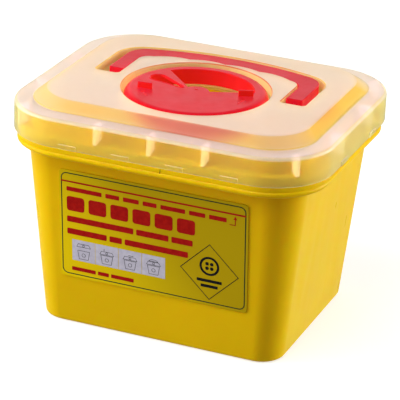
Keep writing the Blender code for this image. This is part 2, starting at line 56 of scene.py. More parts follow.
EASE_STEPS = 5
TURN_STEPS = 192
JOINT_POINT = {joint["name"]: joint.get("pos_m") for joint in frame["joints"]}

# ---------- tub sizes
TUB_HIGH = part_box("tub")[1]
LID_LOW, LID_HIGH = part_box("lid")

TUB_BOTTOM = (91.9 * MM, 73.7 * MM, 18.0 * MM)      # half width, half depth, corner at the floor
TUB_UPPER = (103.25 * MM, 83.5 * MM, 24.0 * MM)     # the same at TUB_UPPER_Z
TUB_UPPER_Z = 121.5 * MM
TUB_WALL = 2.0 * MM
TUB_FLOOR = 2.2 * MM
FOOT_ROUND = 2.8 * MM
BEAD_R = 2.3 * MM
BEAD_PROUD = 1.0 * MM
APRON_HALF = (TUB_HIGH.x - BEAD_PROUD, TUB_HIGH.y - BEAD_PROUD, 42.8 * MM)
APRON_BOTTOM_Z = 133.8 * MM
APRON_TOP_Z = 149.5 * MM
APRON_WALL = 1.8 * MM
NECK_HALF = (105.6 * MM, 85.8 * MM, 26.0 * MM)
NECK_TOP_Z = TUB_HIGH.z
NECK_WALL = 2.0 * MM

# ---------- lid sizes
LUG_SIZE = (13.2 * MM, 0.7 * MM, 3.7 * MM)          # width, stand-off, height
LUG_X = (-60 * MM, -20 * MM, 20 * MM, 60 * MM)
LUG_Y = (-30 * MM, 30 * MM)
LID_HALF = (LID_HIGH.x - LUG_SIZE[1], LID_HIGH.y - LUG_SIZE[1], 46.0 * MM)
LID_WALL = 1.8 * MM
SKIRT_BOTTOM_Z = LID_LOW.z
LEDGE_Z = 164.5 * MM
LEDGE_ROUND = 3.0 * MM
SLOPE_FILLET = 1.6 * MM                              # at the foot of the plateau slope
PLATEAU_BASE = (104.5 * MM, 84.3 * MM, 34.0 * MM)
PLATEAU_TOP = (97.5 * MM, 76.0 * MM, 31.0 * MM)
PLATEAU_Z = LID_HIGH.z
PLATEAU_ROUND = 5.5 * MM
SEAL_HALF = (103.2 * MM, 83.4 * MM, 24.0 * MM)
SEAL_WALL = 1.4 * MM
SEAL_BOTTOM_Z = 152.5 * MM
RIB_THICK = 2.6 * MM
RIB_BOTTOM_Z = 150.7 * MM
RIB_DEPTH = 8.6 * MM
RIB_AIR = 0.03 * MM                                  # between a web and the lid's own walls
CORNER_RIB_DEPTH = 6.6 * MM
RIB_X = (-40 * MM, 0.0, 40 * MM)
RIB_Y = (-30 * MM, 30 * MM)

# ---------- well and turntable sizes
AXIS_X, AXIS_Y, ROTOR_TOP_Z = JOINT_POINT["turntable_turn"]
WELL_R_TOP, WELL_R_BOTTOM = 53.2 * MM, 52.7 * MM
WELL_LIP = 1.0 * MM
WELL_SHELL = 1.8 * MM
WELL_FLOOR_Z = 157.5 * MM
WELL_FLOOR_THICK = 2.0 * MM
WELL_FLOOR_ROUND = 0.8 * MM
APERTURE_R = 42.0 * MM
APERTURE_EDGE_Y = 2.0 * MM
BOSS_R = 10.0 * MM
PIN_HOLE_R = 3.4 * MM
ROTOR_R = 51.4 * MM
ROTOR_EDGE = (6.0 * MM, 6.0 * MM)                     # reach and fall of the rolled edge
ROTOR_WALL = 1.8 * MM
ROTOR_SKIRT_Z = 160.2 * MM
COLLAR_R = (44.0 * MM, 45.8 * MM)
COLLAR_BOTTOM_Z = 158.0 * MM
HUB_R = 5.6 * MM
HUB_GAP = 0.3 * MM
PIN_R = 3.0 * MM
PIN_HEAD_R = 4.1 * MM
PIN_HEAD_Z = (152.6 * MM, 154.9 * MM)
ROTOR_ANGLE = math.radians(15.0)
OPENING_R = 41.5 * MM
HUB_BUMP = (0.0, -3.5 * MM, 9.6 * MM)               # x, y, radius
RIGHT_EDGE = (9.5 * MM, -2.7 * MM, 9.5)             # a point and a direction in degrees
LEFT_EDGE = (-8.8 * MM, 8.2 * MM, 118.7)
SLOT_WIDE = (-29.5 * MM, 17.8 * MM, 6.0 * MM)
SLOT_NARROW = (-10.5 * MM, 2.6 * MM, 1.3 * MM)
TAB_SIZE = (10.6 * MM, 1.8 * MM, 4.3 * MM)
TAB_POS = (35.8 * MM, -5.3 * MM)
TAB_TOE = math.radians(10.0)

# ---------- handle and recess sizes
_, PIVOT_Y, PIVOT_Z = JOINT_POINT["handle_raise"]
HANDLE_TOP_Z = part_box("handle")[1].z
HANDLE_THICK = 6.8 * MM
HANDLE_SKIN = 2.0 * MM
HANDLE_OUT = (74.3 * MM, 17.0 * MM, 215.0 * MM, 58.8 * MM)   # arm x, corner, arc radius, arc top
HANDLE_IN = (62.4 * MM, 10.0 * MM, 175.0 * MM, 43.0 * MM)
HANDLE_END_Y = 1.5 * MM
HANDLE_END_ROUND = 1.2 * MM
SCALLOP_DEPTH = 2.7 * MM
CUSP_X = (-53.2 * MM, -27.0 * MM, 0.0, 27.0 * MM, 53.2 * MM)
WEB_X = (-40.5 * MM, -13.5 * MM, 13.5 * MM, 40.5 * MM)
RECESS_OUT = (80.3 * MM, 22.5 * MM, 216.0 * MM, 59.8 * MM)
RECESS_IN = (61.6 * MM, 9.2 * MM, 174.2 * MM, 42.2 * MM)
RECESS_END_Y = -10.7 * MM
RECESS_END_ROUND = 3.0 * MM
RECESS_FLOOR_Z = 161.0 * MM
RECESS_SHELL = 1.8 * MM
PIVOT_PIN_R = 2.1 * MM
PIVOT_HOLE_R = 2.5 * MM
PIVOT_PIN_X = (59.6 * MM, 63.1 * MM)


# ---------- mesh helpers
def linked(name, data):
    obj = bpy.data.objects.new(name, data)
    bpy.context.scene.collection.objects.link(obj)
    return obj


def new_object(name, verts, faces):
    mesh = bpy.data.meshes.new(name)
    mesh.from_pydata([tuple(v) for v in verts], [], faces)
    bm = bmesh.new()
    bm.from_mesh(mesh)
    bmesh.ops.recalc_face_normals(bm, faces=bm.faces)
    bm.to_mesh(mesh)
    bm.free()
    return linked(name, mesh)


def loft(name, rings, close=False):
    """Skin through rings of equally many points, capped unless it closes on itself."""
    count = len(rings[0])
    verts = [p for ring in rings for p in ring]
    faces = []
    for j in range(len(rings) if close else len(rings) - 1):
        a, b = j * count, ((j + 1) % len(rings)) * count
        for i in range(count):
            k = (i + 1) % count
            faces.append((a + i, a + k, b + k, b + i))
    if not close:
        last = (len(rings) - 1) * count
        faces.append(tuple(reversed(range(count))))
        faces.append(tuple(last + i for i in range(count)))
    return new_object(name, verts, faces)


def quarter(steps, start=0.0, stop=90.0):
    """Angles of an arc in radians, both ends included."""
    return [math.radians(start + (stop - start) * k / steps) for k in range(steps + 1)]


def arc(radius, angles, centre=(0.0, 0.0)):
    return [(centre[0] + radius * math.cos(a), centre[1] + radius * math.sin(a)) for a in angles]


def rounded_rect(hx, hy, r, steps=CORNER_STEPS):
    points = []
    for k, (sx, sy) in enumerate(((1, 1), (-1, 1), (-1, -1), (1, -1))):
        points += arc(r, quarter(steps, 90.0 * k, 90.0 * (k + 1)), (sx * (hx - r), sy * (hy - r)))
    return points


def rect_loft(name, rows, close=False):
    """Loft of rounded rectangles; rows are (half width, half depth, corner, z)."""
    rings = [[(x, y, z) for x, y in rounded_rect(hx, hy, r)] for hx, hy, r, z in rows]
    return loft(name, rings, close)


def circle(radius, steps=TURN_STEPS, centre=(AXIS_X, AXIS_Y)):
    return arc(radius, [2 * math.pi * k / steps for k in range(steps)], centre)


def turned(name, side, steps=TURN_STEPS, close=False):
    """Solid of revolution about the turntable axis; side rows are (radius, z)."""
    return loft(name, [[(x, y, z) for x, y in circle(r, steps)] for r, z in side], close)


def offset(outline, amount):
    """Move each point of a counter-clockwise outline outwards along its mean normal."""
    moved = []
    count = len(outline)
    for i, (x, y) in enumerate(outline):
        px, py = outline[i - 1]
        nx, ny = outline[(i + 1) % count]
        before = Vector((y - py, px - x)).normalized()
        after = Vector((ny - y, x - nx)).normalized()
        mean = (before + after).normalized()
        reach = amount / max(mean.dot(after), 0.5)
        moved.append((x + mean.x * reach, y + mean.y * reach))
    return moved


def counter_clockwise(outline):
    area = sum(x0 * y1 - x1 * y0 for (x0, y0), (x1, y1) in zip(outline, outline[1:] + outline[:1]))
    return outline if area > 0 else list(reversed(outline))


def pillar(name, outline, rows):
    """Loft of one outline at several heights; rows are (outward offset, z)."""
    outline = counter_clockwise(outline)
    return loft(name, [[(x, y, z) for x, y in offset(outline, d)] for d, z in rows])


def foot_rows(z, radius):
    """Lowest rows of a block or cutter, rounded if a radius is given."""
    if not radius:
        return [(0.0, z)]
    return [(-radius * (1 - math.sin(a)), z + radius * (1 - math.cos(a)))
            for a in quarter(EASE_STEPS)]


def flared(floor_z, top_z, lip, floor_round=0.0):
    """Rows of a cutter whose mouth opens round by lip and whose floor edge may be rounded."""
    rows = foot_rows(floor_z, floor_round)
    for a in quarter(EASE_STEPS):
        rows.append((lip * (1 - math.cos(a)), top_z - lip + lip * math.sin(a)))
    rows.append((lip, top_z + 3 * MM))
    return rows


def domed(bottom_z, top_z, edge, foot=0.0):
    """Rows of a block whose upper edge, and lower edge if foot is given, is rounded."""
    rows = foot_rows(bottom_z, foot)
    for a in quarter(EASE_STEPS):
        rows.append((-edge * (1 - math.cos(a)), top_z - edge + edge * math.sin(a)))
    return rows


def cylinder_x(name, x0, x1, y, z, radius, edge=0.0, steps=40):
    rows = [(x0, radius), (x1, radius)]
    if edge:
        rows = [(x0, radius - edge), (x0 + edge, radius), (x1 - edge, radius), (x1, radius - edge)]
    rings = [[(x, y + r * math.cos(2 * math.pi * k / steps), z + r * math.sin(2 * math.pi * k / steps))
              for k in range(steps)] for x, r in rows]
    return loft(name, rings)


def merged(name, parts):
    """Several separate solids as one object, used as one Boolean tool."""
    bm = bmesh.new()
    for part in parts:
        bm.from_mesh(part.data)
    mesh = bpy.data.meshes.new(name)
    bm.to_mesh(mesh)
    bm.free()
    for part in parts:
        bpy.data.objects.remove(part, do_unlink=True)
    return linked(name, mesh)


def combine(target, tool, operation):
    """Apply one exact Boolean to the target mesh and remove the tool."""
    mod = target.modifiers.new(operation.lower(), "BOOLEAN")
    mod.operation = operation
    mod.solver = "EXACT"
    mod.object = tool
    bpy.context.view_layer.update()
    solid = bpy.data.meshes.new_from_object(
        target.evaluated_get(bpy.context.evaluated_depsgraph_get()))
    target.modifiers.clear()
    old = target.data
    target.data = solid
    bpy.data.meshes.remove(old)
    bpy.data.objects.remove(tool, do_unlink=True)


def union(target, *tools):
    for tool in tools:
        combine(target, tool, "UNION")


def cut(target, *tools):
    for tool in tools:
        combine(target, tool, "DIFFERENCE")


def finish_mesh(obj, sharp_degrees=32.0):
    """Weld stray points, mark hard edges and let the broad faces set the normals."""
    bm = bmesh.new()
    bm.from_mesh(obj.data)
    bmesh.ops.remove_doubles(bm, verts=bm.verts, dist=0.000004)
    bmesh.ops.dissolve_degenerate(bm, edges=bm.edges, dist=0.000004)
    bmesh.ops.recalc_face_normals(bm, faces=bm.faces)
    for face in bm.faces:
        face.smooth = True
        face.material_index = 0
    for edge in bm.edges:
        hard = len(edge.link_faces) == 2 and edge.calc_face_angle(0.0) > math.radians(sharp_degrees)
        edge.smooth = not hard
    bm.to_mesh(obj.data)
    bm.free()
    weights = obj.modifiers.new("weighted_normals", "WEIGHTED_NORMAL")
    weights.keep_sharp = True
    weights.weight = 100


def place(obj, material, body, node=None):
    """Give a finished piece its one material and its body, and hide the CAD part it stands in for."""
    obj.data.materials.clear()
    obj.data.materials.append(material)
    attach(obj, body)
    if node:
        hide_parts(node)


# ---------- materials
# painted light on the milky lid: tones by face slope stand in for its haze lit from above and for the
# tub seen through it
WALL_PAINTED_TONE = (0.83, 0.80, 0.34)
SLOPE_PAINTED_TONE = (0.88, 0.60, 0.06)
FLAT_PAINTED_TONE = (0.90, 0.79, 0.74)
ROUND_PAINTED_TONE = (0.92, 0.82, 0.56)
# how level a milky face is, from upright 0 to flat 1, where its painted tone and its clearness change
LEVELS = (0.06, 0.30, 0.74, 0.97)
CLEARNESS = (0.36, 0.50, 0.50, 0.66)
SKIRT_EXTRA_CLEARNESS = 0.54


def plastic(name, colour, roughness, ior=1.5):
    """A Principled material; the caller adds its procedural detail."""
    mat = bpy.data.materials.new(name)
    mat.use_nodes = True
    shader = mat.node_tree.nodes["Principled BSDF"]
    shader.inputs["Base Color"].default_value = (*colour, 1.0)
    shader.inputs["Roughness"].default_value = roughness
    shader.inputs["IOR"].default_value = ior
    return mat, mat.node_tree, shader


def scatter(shader, weight, radius, scale):
    shader.inputs["Subsurface Weight"].default_value = weight
    shader.inputs["Subsurface Radius"].default_value = radius
    shader.inputs["Subsurface Scale"].default_value = scale


def glowing(shader, colour, strength):
    shader.inputs["Emission Color"].default_value = (*colour, 1.0)
    shader.inputs["Emission Strength"].default_value = strength


def coordinates(tree, kind="Object"):
    return tree.nodes.new("ShaderNodeTexCoord").outputs[kind]


def z_of(tree, vector):
    split = tree.nodes.new("ShaderNodeSeparateXYZ")
    tree.links.new(vector, split.inputs["Vector"])
    return split.outputs["Z"]


def compute(tree, kind, operation, *values):
    """A Math or VectorMath node; each value is a socket, a number or a vector."""
    node = tree.nodes.new("ShaderNode" + kind)
    node.operation = operation
    for socket, value in zip(node.inputs, values):
        if isinstance(value, (float, tuple)):
            socket.default_value = value
        else:
            tree.links.new(value, socket)
    return node.outputs["Value" if operation in ("DOT_PRODUCT", "LENGTH") else 0]


def product(tree, *factors):
    amount = factors[0]
    for factor in factors[1:]:
        amount = compute(tree, "Math", "MULTIPLY", amount, factor)
    return amount


def spread(tree, value, from_min, from_max, to_min=0.0, to_max=1.0, kind="SMOOTHSTEP"):
    """Step from one value to another while the source runs over its range."""
    step = tree.nodes.new("ShaderNodeMapRange")
    step.interpolation_type = kind
    step.inputs["From Min"].default_value = from_min
    step.inputs["From Max"].default_value = from_max
    step.inputs["To Min"].default_value = to_min
    step.inputs["To Max"].default_value = to_max
    tree.links.new(value, step.inputs["Value"])
    return step.outputs["Result"]


def ramp(tree, source, stops):
    """Colour ramp over (position, colour) stops."""
    node = tree.nodes.new("ShaderNodeValToRGB")
    elements = node.color_ramp.elements
    for _ in stops[2:]:
        elements.new(0.5)
    for element, (position, colour) in zip(elements, stops):
        element.position = position
        element.color = (*colour, 1.0)
    tree.links.new(source, node.inputs["Fac"])
    return node.outputs["Color"]


def mixed(tree, base, tone, factor, mode="MIX"):
    """Base colour, a socket or a colour, blended with a tone by a factor."""
    blend = tree.nodes.new("ShaderNodeMix")
    blend.data_type = "RGBA"
    blend.blend_type = mode
    if isinstance(base, tuple):
        blend.inputs["A"].default_value = (*base, 1.0)
    else:
        tree.links.new(base, blend.inputs["A"])
    blend.inputs["B"].default_value = (*tone, 1.0)
    tree.links.new(factor, blend.inputs["Factor"])
    return blend.outputs["Result"]


def tinted(tree, base, tint, *factors):
    """Base colour multiplied by a tint, by the product of the factors."""
    return mixed(tree, base, tint, product(tree, *factors), "MULTIPLY")


def noise(tree, scale, detail=3.0, stretch=None):
    """Noise in object space; stretch scales the axes for drawn or flowed grain."""
    texture = tree.nodes.new("ShaderNodeTexNoise")
    texture.inputs["Scale"].default_value = scale
    texture.inputs["Detail"].default_value = detail
    source = coordinates(tree)
    if stretch:
        mapping = tree.nodes.new("ShaderNodeMapping")
        mapping.inputs["Scale"].default_value = stretch
        tree.links.new(source, mapping.inputs["Vector"])
        source = mapping.outputs["Vector"]
    tree.links.new(source, texture.inputs["Vector"])
    return texture.outputs["Fac"]


def colour_drift(tree, shader, low, high, scale):
    """Base colour wanders between two close tones."""
    colour = ramp(tree, noise(tree, scale), ((0.35, low), (0.65, high)))
    tree.links.new(colour, shader.inputs["Base Color"])


def roughness_drift(tree, shader, low, high, scale, stretch=None):
    drift = spread(tree, noise(tree, scale, 4.0, stretch), 0.3, 0.7, low, high, "LINEAR")
    tree.links.new(drift, shader.inputs["Roughness"])


def grain(tree, shader, layers):
    """Stacked bumps; layers are (scale, height in metres, strength)."""
    previous = None
    for scale, height, strength in layers:
        bump = tree.nodes.new("ShaderNodeBump")
        bump.inputs["Distance"].default_value = height
        bump.inputs["Strength"].default_value = strength
        tree.links.new(noise(tree, scale, 2.0), bump.inputs["Height"])
        if previous:
            tree.links.new(previous, bump.inputs["Normal"])
        previous = bump.outputs["Normal"]
    tree.links.new(previous, shader.inputs["Normal"])


def yellow_plastic():
    mat, tree, shader = plastic("yellow_polypropylene", (0.80, 0.52, 0.001), 0.34, 1.18)
    scatter(shader, 0.7, (1.0, 0.62, 0.02), 4.0 * MM)
    colour_drift(tree, shader, (0.77, 0.495, 0.001), (0.83, 0.54, 0.001), 9.0)
    roughness_drift(tree, shader, 0.27, 0.40, 60.0, (1.0, 1.0, 0.25))
    grain(tree, shader, [(14.0, 0.0006, 0.30), (1400.0, 0.00003, 0.55)])
    return mat


def label_film():
    """Printed yellow film with painted shade: darker towards the top right, lighter at its low left
    corner.
    """
    mat, tree, shader = plastic("label_film", (0.48, 0.33, 0.001), 0.22, 1.15)
    low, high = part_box("label")
    slant = (0.85 / (high.x - low.x), 0.0, 0.45 / (high.z - low.z))
    start = slant[0] * low.x + slant[2] * low.z
    along = compute(tree, "VectorMath", "DOT_PRODUCT", coordinates(tree), slant)
    # painted shade: a lit and a shaded film tone, blended from the low left corner towards the top
    # right, with a little random drift
    painted_shade = spread(tree, along, start, start + 0.95)
    painted_shade_and_drift = compute(tree, "Math", "MULTIPLY_ADD", noise(tree, 16.0), 0.12, painted_shade)
    colour = mixed(tree, (0.84, 0.60, 0.001), (0.47, 0.32, 0.001), painted_shade_and_drift)
    tree.links.new(colour, shader.inputs["Base Color"])
    roughness_drift(tree, shader, 0.18, 0.28, 90.0)
    grain(tree, shader, [(22.0, 0.0004, 0.25), (700.0, 0.00002, 0.35)])
    return mat


def printed_ink(name, dark, light, roughness=0.32):
    """Screen-printed ink: slightly uneven cover and a satin film."""
    mat, tree, shader = plastic(name, light, roughness, 1.15)
    colour_drift(tree, shader, dark, light, 320.0)
    roughness_drift(tree, shader, roughness - 0.06, roughness + 0.08, 400.0)
    grain(tree, shader, [(1800.0, 0.00001, 0.4)])
    return mat


def axis_distance(tree, aside=0.0):
    """Distance in plan from the turntable axis, or from a point beside it."""
    shift = compute(tree, "VectorMath", "SUBTRACT", coordinates(tree), (AXIS_X + aside, AXIS_Y, 0.0))
    flat = compute(tree, "VectorMath", "MULTIPLY", shift, (1.0, 1.0, 0.0))
    return compute(tree, "VectorMath", "LENGTH", flat)


def levelness(tree):
    """How level a face is: 0 upright, 1 flat."""
    return compute(tree, "Math", "ABSOLUTE", z_of(tree, coordinates(tree, "Normal")))


def milky_colour_with_painted_light(tree, level, height, upright, below):
    """Painted light in the lid's colour: flat faces get a pale painted haze; slopes and walls are
    painted with the yellow of the tub seen through them, and with painted red where the turntable stands
    close."""
    above = spread(tree, height, LEDGE_Z + 0.5 * MM, LEDGE_Z + 2.0 * MM)
    tilted = spread(tree, level, LEVELS[3], LEVELS[2])
    leaning = spread(tree, level, LEVELS[0], LEVELS[1])
    tones = (WALL_PAINTED_TONE, SLOPE_PAINTED_TONE, SLOPE_PAINTED_TONE, FLAT_PAINTED_TONE)
    colour = ramp(tree, level, tuple(zip(LEVELS, tones)))
    colour = mixed(tree, colour, ROUND_PAINTED_TONE, product(tree, below, tilted, leaning))
    cloud = spread(tree, noise(tree, 26.0), 0.35, 0.65)
    colour = tinted(tree, colour, (0.975, 0.955, 0.93), cloud)
    # painted light: the skirt below the ledge is tinted a little darker and cooler, the lid above it a
    # little warmer, and upright faces there get a painted pink from the turntable
    colour = tinted(tree, colour, (0.90, 0.91, 0.98), below)
    colour = tinted(tree, colour, (1.0, 1.0, 0.93), above)
    colour = tinted(tree, colour, (1.0, 0.84, 0.95), upright, above)
    # painted red on slopes near the turntable, standing in for the red seen through the lid
    painted_red_reach = spread(tree, axis_distance(tree, 20.0 * MM), 83.0 * MM, 67.0 * MM)
    colour = tinted(tree, colour, (0.80, 0.24, 0.75), tilted, leaning, painted_red_reach)
    # painted yellow on the well floor, standing in for the lit tub seen through it
    in_well = spread(tree, axis_distance(tree), WELL_R_TOP + 1.0 * MM, WELL_R_BOTTOM - 1.0 * MM)
    deep = spread(tree, height, WELL_FLOOR_Z + 2.5 * MM, WELL_FLOOR_Z + 0.5 * MM)
    return tinted(tree, colour, (1.0, 0.76, 0.26), in_well, deep)


def milky_plastic():
    """Natural polypropylene, clearest on the skirt; its base colour carries painted light."""
    mat, tree, shader = plastic("natural_polypropylene", (0.98, 0.92, 0.84), 0.32, 1.22)
    roughness_drift(tree, shader, 0.28, 0.38, 45.0)
    height = z_of(tree, coordinates(tree))
    level = levelness(tree)
    below = spread(tree, height, LEDGE_Z + 1.5 * MM, LEDGE_Z - 1.0 * MM)
    upright = spread(tree, level, LEVELS[1], LEVELS[0])
    colour = milky_colour_with_painted_light(tree, level, height, upright, below)
    tree.links.new(colour, shader.inputs["Base Color"])
    clear = ramp(tree, level, [(stop, (value,) * 3) for stop, value in zip(LEVELS, CLEARNESS)])
    clear = compute(tree, "Math", "MULTIPLY_ADD", product(tree, upright, below),
                    SKIRT_EXTRA_CLEARNESS, clear)
    tree.links.new(clear, shader.inputs["Transmission Weight"])
    grain(tree, shader, [(18.0, 0.00012, 0.15), (1200.0, 0.00001, 0.2)])
    return mat


def hazy_plastic():
    """The webs inside the skirt, where the wall is thick and scatters the light; their emission is
    painted light.
    """
    mat, tree, shader = plastic("thick_natural_polypropylene", (0.97, 0.80, 0.66), 0.4, 1.2)
    shader.inputs["Transmission Weight"].default_value = 0.25
    # painted light: the webs emit a faint warm light though they are no lamp
    glowing(shader, (1.0, 0.80, 1.0), 0.35)
    colour_drift(tree, shader, (0.96, 0.78, 0.62), (0.99, 0.84, 0.70), 90.0)
    roughness_drift(tree, shader, 0.35, 0.45, 150.0)
    grain(tree, shader, [(600.0, 0.00002, 0.3)])
    return mat


def red_plastic(name, low, high, roughness, painted_glow=0.0):
    """Red moulding; its emission is painted light on its upright faces that stands in for the light they
    pass on from the pale well.
    """
    mat, tree, shader = plastic(name, high, roughness, 1.24)
    glowing(shader, (1.0, 0.05, 0.0), 0.0)
    # painted light: emission on the upright faces, fading out on level faces
    strength = spread(tree, levelness(tree), 0.45, 0.10, 0.0, painted_glow)
    tree.links.new(strength, shader.inputs["Emission Strength"])
    scatter(shader, 0.5, (1.0, 0.06, 0.03), 3.0 * MM)
    colour_drift(tree, shader, low, high, 24.0)
    roughness_drift(tree, shader, roughness - 0.05, roughness + 0.07, 120.0)
    grain(tree, shader, [(20.0, 0.0003, 0.30), (1600.0, 0.00003, 0.60)])
    return mat


# ---------- tub
def wall_at(z):
    t = z / TUB_UPPER_Z
    return tuple(a + (b - a) * t for a, b in zip(TUB_BOTTOM, TUB_UPPER))


def shrink(size, amount):
    return size[0] - amount, size[1] - amount, max(size[2] - amount, 2 * MM)


def tub_rows():
    """Closed walk: underside, foot round, outer wall, hooked flange, neck, inner wall."""
    rows = [(*shrink(wall_at(0.0), FOOT_ROUND), 0.0)]
    for a in quarter(12)[1:]:
        z = FOOT_ROUND * (1 - math.cos(a))
        rows.append((*shrink(wall_at(z), FOOT_ROUND * (1 - math.sin(a))), z))
    for k in range(1, 9):
        z = FOOT_ROUND + (APRON_BOTTOM_Z - FOOT_ROUND) * k / 8
        rows.append((*wall_at(z), z))
    under = APRON_TOP_Z - APRON_WALL
    rows.append((*NECK_HALF, under))
    rows.append((*shrink(APRON_HALF, APRON_WALL), under))
    start = math.degrees(math.acos((BEAD_R - BEAD_PROUD - APRON_WALL) / BEAD_R))
    stop = math.degrees(math.acos((BEAD_R - BEAD_PROUD) / BEAD_R))
    for a in quarter(20, -start, stop):
        rows.append((*shrink(APRON_HALF, BEAD_R - BEAD_PROUD - BEAD_R * math.cos(a)),
                     APRON_BOTTOM_Z + BEAD_R + BEAD_R * math.sin(a)))
    edge = 1.0 * MM
    for a in quarter(5):
        rows.append((*shrink(APRON_HALF, edge * (1 - math.cos(a))),
                     APRON_TOP_Z - edge + edge * math.sin(a)))
    rows.append((*NECK_HALF, APRON_TOP_Z))
    rim = NECK_WALL / 2
    for a in quarter(8, 0.0, 180.0):
        rows.append((*shrink(NECK_HALF, rim * (1 - math.cos(a))),
                     NECK_TOP_Z - rim + rim * math.sin(a)))
    for k in range(7, 0, -1):
        z = FOOT_ROUND + TUB_FLOOR + (APRON_BOTTOM_Z - FOOT_ROUND - TUB_FLOOR) * k / 7
        rows.append((*shrink(wall_at(z), TUB_WALL), z))
    for a in quarter(8, 90.0, 0.0):
        z = TUB_FLOOR + FOOT_ROUND * (1 - math.cos(a))
        rows.append((*shrink(wall_at(z), TUB_WALL + FOOT_ROUND * (1 - math.sin(a))), z))
    return rows


def make_tub(material):
    tub = rect_loft("tub_shell", tub_rows())
    finish_mesh(tub)
    place(tub, material, "tub", "tub")


# ---------- label
class LabelPlane:
    """Flat coordinates on the front face of the CAD label: across, up the slope, outwards."""

    def __init__(self):
        mesh = frame["nodes"]["label"].data
        broad = max((p for p in mesh.polygons if p.normal.y < 0), key=lambda p: p.area)
        self.out = broad.normal.copy()
        self.across = Vector((1.0, 0.0, 0.0))
        self.up = self.out.cross(self.across)
        corners = [v.co for v in mesh.vertices]
        self.half = (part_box("label")[1].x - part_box("label")[0].x) / 2
        heights = [c.dot(self.up) for c in corners]
        self.half_up = (max(heights) - min(heights)) / 2
        depth = max(c.dot(self.out) for c in corners)
        middle = (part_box("label")[0].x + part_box("label")[1].x) / 2
        self.origin = (self.across * middle + self.up * ((max(heights) + min(heights)) / 2)
                       + self.out * depth)

    def point(self, u, v, lift):
        return self.origin + self.across * u + self.up * v + self.out * lift


PRINT_LOW, PRINT_HIGH = 0.01 * MM, 0.06 * MM
PRINTED = (PRINT_LOW, PRINT_HIGH)
OVERPRINTED = (PRINT_HIGH, PRINT_HIGH + 0.03 * MM)


def flat_solid(plane, outline, lifts=PRINTED):
    """A thin closed sheet on the label plane between two lifts."""
    outline = counter_clockwise(outline)
    return loft("print", [[plane.point(u, v, lift) for u, v in outline] for lift in lifts])


def flat_ring(plane, outline, width, lifts=PRINTED):
    """A closed band of the given width just inside an outline on the label plane."""
    outline = counter_clockwise(outline)
    inner = offset(outline, -width)
    low, high = lifts
    rings = [[plane.point(u, v, lift) for u, v in path]
             for path, lift in ((outline, low), (outline, high), (inner, high), (inner, low))]
    return loft("print", rings, close=True)


def rectangle(u0, u1, v0, v1):
    return [(u0, v0), (u1, v0), (u1, v1), (u0, v1)]


def round_box(u0, u1, v0, v1, r, steps=8):
    """Rounded rectangle between two corners."""
    return [((u0 + u1) / 2 + x, (v0 + v1) / 2 + y)
            for x, y in rounded_rect((u1 - u0) / 2, (v1 - v0) / 2, r, steps)]


def ring_points(cx, cy, r, steps=40):
    return circle(r, steps, (cx, cy))


# left, bottom, height, gap and bar widths of each row, in millimetres
WORD_ROWS = (
    (-65.6, 26.0, 3.4, 2.9, (27, 10.5, 12, 10.5, 18.5, 12, 13)),
    (-65.6, 10.6, 11.4, 3.2, (13.6,) * 6),
    (-65.6, 1.7, 4.6, 2.2, (51, 24.5, 16)),
    (-65.6, -8.0, 4.6, 2.2, (30.5, 9.5, 48)),
    (-62.4, -36.8, 3.0, 1.7, (18.5, 8.5, 17.5)),
)


def word_row(plane, left, bottom, height, widths, gap):
    """One row of generic word-length bars."""
    bars = []
    u = left
    for width in widths:
        outline = round_box(u, u + width, bottom, bottom + height, 0.18 * height, 4)
        bars.append(flat_solid(plane, outline))
        u += width + gap
    return bars


def make_label(film):
    plane = LabelPlane()
    thick = 0.4 * MM
    edge = 0.12 * MM
    outline = round_box(-plane.half, plane.half, -plane.half_up, plane.half_up, 3.0 * MM)
    rows = [(0.0, -thick), (0.0, -edge), (-0.3 * edge, -0.3 * edge), (-edge, 0.0)]
    rings = [[plane.point(u, v, lift) for u, v in offset(outline, d)] for d, lift in rows]
    sheet = loft("label_sheet", rings)
    finish_mesh(sheet)
    place(sheet, film, "tub", "label")
    return plane


def make_print(plane, dark_green, red, black, panel_white):
    """Generic printing: frame, fill rule, word bars, four use pictures and a diamond sign."""
    def finish(name, parts, material):
        obj = merged(name, parts)
        finish_mesh(obj)
        place(obj, material, "tub")

    left, right, low, high = -69.8 * MM, 69.6 * MM, -40.2 * MM, 40.2 * MM
    border = flat_ring(plane, round_box(left, right, low, high, 4.5 * MM), 0.75 * MM)
    finish("label_frame_line", [border], dark_green)
    rule_v, rule_half = 33.4 * MM, 0.65 * MM
    rule = rectangle(left, right, rule_v - rule_half, rule_v + rule_half)
    finish("label_fill_rule", [flat_solid(plane, rule, OVERPRINTED)], red)

    bars = []
    for margin, bottom, height, gap, widths in WORD_ROWS:
        bars += word_row(plane, margin * MM, bottom * MM, height * MM,
                         [w * MM for w in widths], gap * MM)
    bars += up_arrow(plane, 62.0 * MM, 24.6 * MM)
    finish("label_word_bars", bars, red)

    panels, drawings = use_pictures(plane)
    finish("label_picture_panels", panels, panel_white)
    finish("label_picture_lines", drawings, black)
    finish("label_diamond_sign", diamond_sign(plane), black)


def up_arrow(plane, u, v):
    """A bent arrow that points up at the fill rule."""
    line = 0.7 * MM
    shaft = [(u - 4.6 * MM, v), (u, v), (u, v + 5.2 * MM), (u - line, v + 5.2 * MM),
             (u - line, v + line), (u - 4.6 * MM, v + line)]
    head = [(u - line / 2 - 1.5 * MM, v + 4.6 * MM), (u - line / 2 + 1.5 * MM, v + 4.6 * MM),
            (u - line / 2, v + 7.2 * MM)]
    return [flat_solid(plane, shaft), flat_solid(plane, head, (PRINT_LOW, PRINT_HIGH + 0.01 * MM))]


